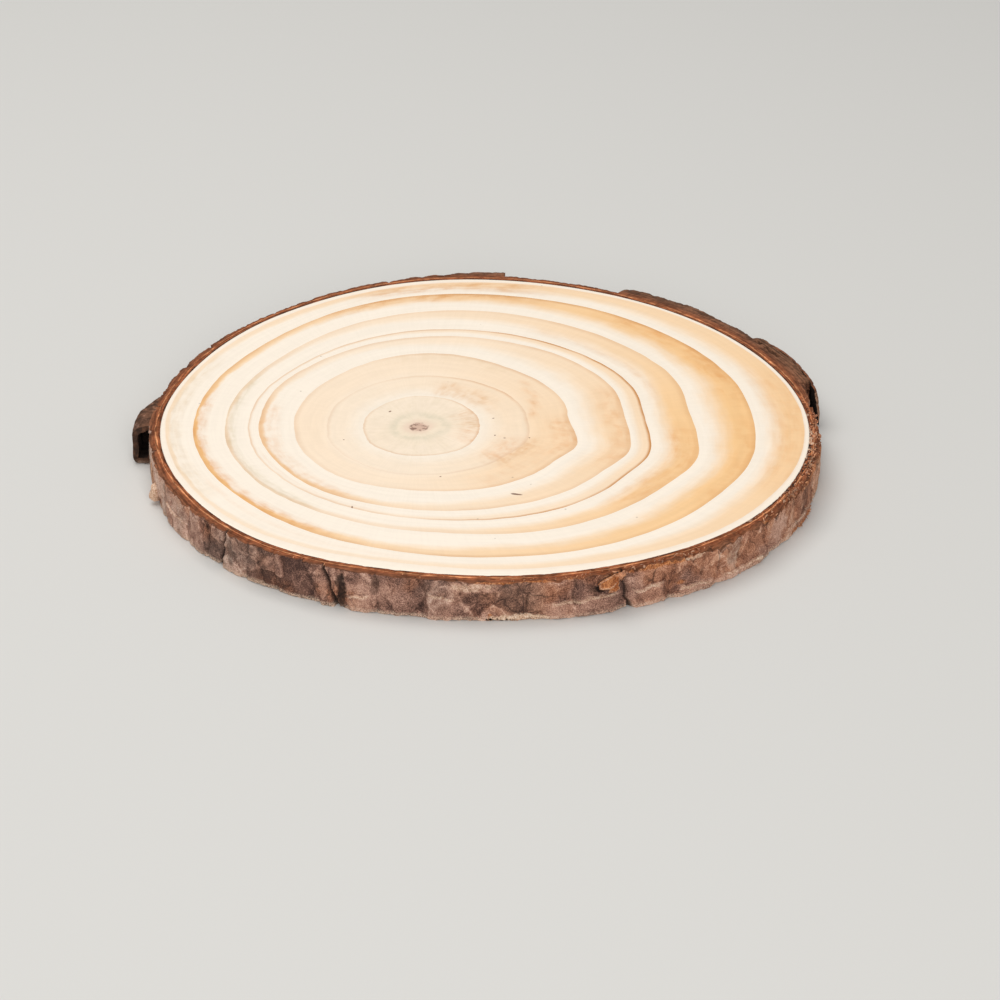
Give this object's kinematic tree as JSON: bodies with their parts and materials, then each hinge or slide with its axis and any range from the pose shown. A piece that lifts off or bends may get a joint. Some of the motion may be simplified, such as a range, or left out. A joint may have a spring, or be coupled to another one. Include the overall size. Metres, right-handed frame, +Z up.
{
  "type": "wood slice",
  "caption": "Thin round slice sawn across a small pine log, with its bark left on as a rough rim and a flake of bark peeling at each side.",
  "frame": {"origin": "middle of the slice's footprint, on its lower saw cut", "axes": "+Z up, through the slice's thickness; +X along its longest width, towards the side where the growth rings are widest; the pith is at x = -14.66 mm, y = -8.61 mm"},
  "size_m": [0.1671, 0.1624, 0.01],
  "materials": {
    "wood": "matte sawn pine, cream with peach growth rings",
    "bark": "matte, rough and dusty grey-brown plates over an orange-brown inner layer"
  },
  "bodies": {
    "root": {"wood": "wood", "bark": "bark"}
  },
  "joints": []
}
